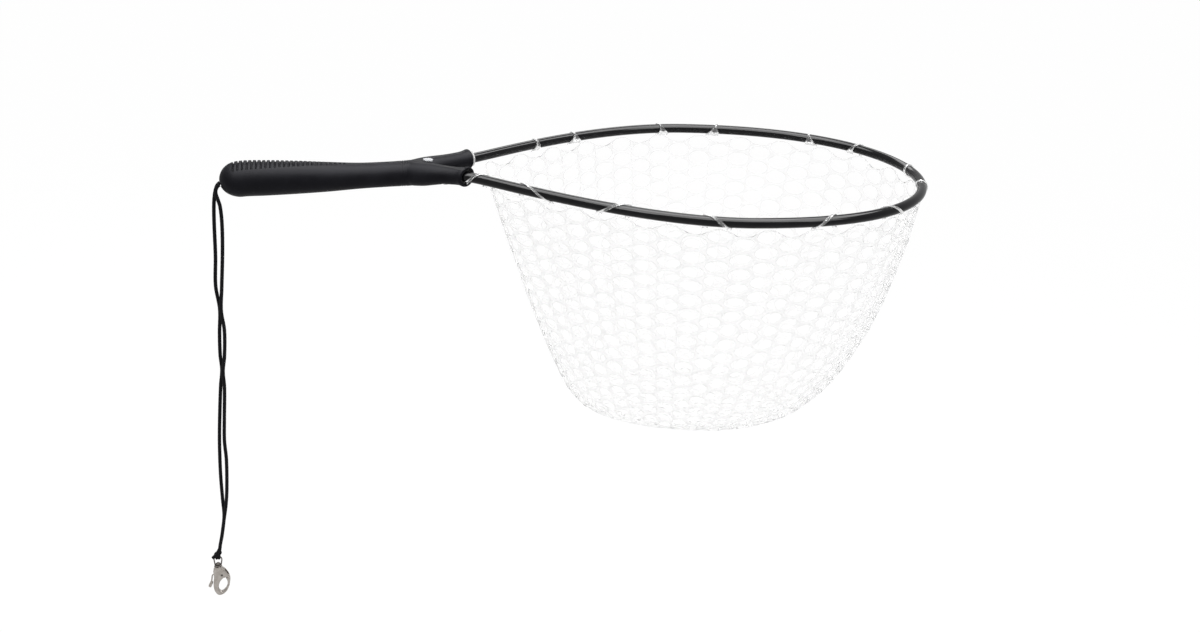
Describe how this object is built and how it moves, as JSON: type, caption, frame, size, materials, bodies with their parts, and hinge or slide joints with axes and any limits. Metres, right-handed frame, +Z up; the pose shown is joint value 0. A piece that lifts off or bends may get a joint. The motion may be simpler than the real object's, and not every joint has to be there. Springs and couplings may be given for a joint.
{
  "type": "landing net",
  "caption": "Hand-held landing net: ribbed black grip with a forked end, bent tube hoop, deep clear rubber mesh bag, and a doubled cord lanyard with a swivel clasp.",
  "frame": {"origin": "the hand's place in the grip, on the net's middle plane and level with the middle of the rim tube", "axes": "+X from the grip to the tip of the hoop, +Z up out of the bag's mouth, +Y to the left of someone who holds the grip and looks along +X"},
  "size_m": [0.596, 0.272, 0.3993],
  "materials": {
    "grip_rubber": "satin",
    "silver_film": "satin",
    "black_aluminium": "gloss",
    "black_plastic": "satin",
    "clear_rubber": "satin",
    "black_cord": "matte",
    "nickel": "satin",
    "steel": "satin"
  },
  "bodies": {
    "net": {"handle": "grip_rubber", "fork_badge": "silver_film", "rim_tube": "black_aluminium", "socket_bush_near": "black_plastic", "socket_bush_far": "black_plastic", "tube_plug_near": "black_plastic", "tube_plug_far": "black_plastic", "rim_screw_near": "steel", "rim_screw_far": "steel", "net_bag": "clear_rubber", "lanyard_pin": "steel", "lanyard_bight": "black_cord"},
    "lanyard": {"lanyard_strand_far": "black_cord", "lanyard_strand_near": "black_cord", "lanyard_knot": "black_cord"},
    "bail": {"swivel_bail": "nickel"},
    "clasp": {"swivel_rivet": "nickel", "clasp_body": "nickel", "clasp_pin": "steel", "clasp_spring": "steel"},
    "trigger": {"clasp_trigger": "nickel"}
  },
  "joints": [
    {"name": "lanyard_swing", "type": "hinge", "parent": "net", "child": "lanyard", "pos_m": [-0.09195, 0, -0.01513], "axis": [0, 1, 0], "range_deg": [-12, 90]},
    {"name": "bail_swing", "type": "hinge", "parent": "lanyard", "child": "bail", "pos_m": [-0.1054, 0, -0.3531], "axis": [1, 0, 0], "range_deg": [-40, 40]},
    {"name": "clasp_spin", "type": "hinge", "parent": "bail", "child": "clasp", "pos_m": [-0.1054, 0, -0.3626], "axis": [0, 0, 1], "continuous": true},
    {"name": "trigger_turn", "type": "hinge", "parent": "clasp", "child": "trigger", "pos_m": [-0.1025, 0, -0.3709], "axis": [0, 1, 0], "range_deg": [0, 25], "stiffness_Nm_per_rad": 0.03, "springref_deg": -20.05}
  ]
}
